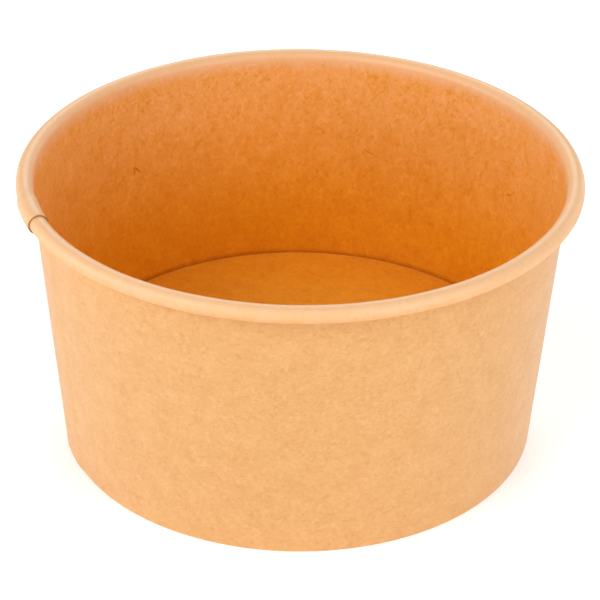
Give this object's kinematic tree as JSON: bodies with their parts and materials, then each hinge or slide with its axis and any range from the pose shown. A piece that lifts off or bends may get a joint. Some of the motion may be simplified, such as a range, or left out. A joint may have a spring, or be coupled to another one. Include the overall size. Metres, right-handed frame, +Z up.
{
  "type": "paper ice cream tub",
  "caption": "Round open kraft paperboard food tub with a rolled rim, a lapped side seam and a recessed glued-in base.",
  "frame": {"origin": "middle of the foot ring, on the surface the tub stands on", "axes": "+Z up along the tub's axis; -Y is the front; the side seam is at the left, 24 degrees from -X towards the front"},
  "size_m": [0.115, 0.115, 0.0606],
  "materials": {
    "kraft_side_wall": "natural kraft board, brown fibres, matt print side, thin water-clear coating inside",
    "kraft_base_disc": "natural kraft board, brown fibres, thin water-clear coating on the upper side"
  },
  "bodies": {
    "root": {"side_wall": "kraft_side_wall", "base_disc": "kraft_base_disc"}
  },
  "joints": []
}
